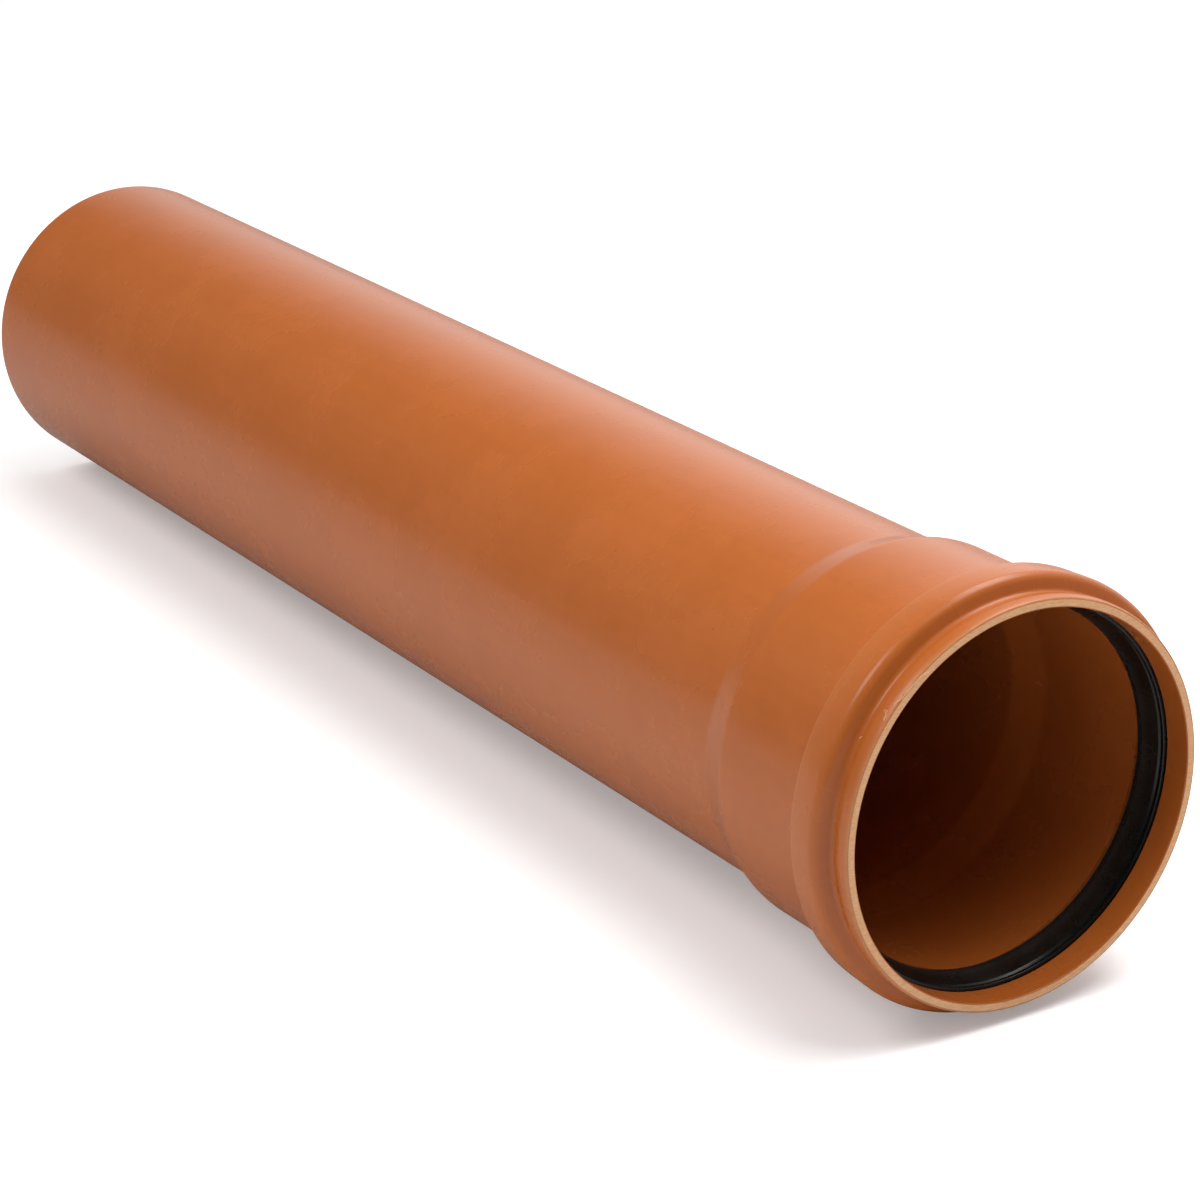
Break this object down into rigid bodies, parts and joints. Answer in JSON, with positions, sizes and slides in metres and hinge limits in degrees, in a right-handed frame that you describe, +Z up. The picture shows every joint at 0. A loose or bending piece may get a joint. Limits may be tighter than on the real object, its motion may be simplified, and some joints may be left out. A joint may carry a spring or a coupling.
{
  "type": "pvc sewer pipe with socket",
  "caption": "Short orange-brown plastic drain pipe, lying down, with a plain spigot end and a formed socket that holds a black rubber seal ring.",
  "frame": {"origin": "on the floor, under the middle of the pipe's bounding box", "axes": "the pipe lies along X with its socket towards +X; +Z up"},
  "size_m": [0.574, 0.127, 0.1269],
  "materials": {
    "pvc": "satin orange-brown extruded PVC-U, saw-cut ends",
    "seal_rubber": "black moulded EPDM, faintly glossy from lubricant"
  },
  "bodies": {
    "root": {"pipe": "pvc", "seal_ring": "seal_rubber"}
  },
  "joints": []
}
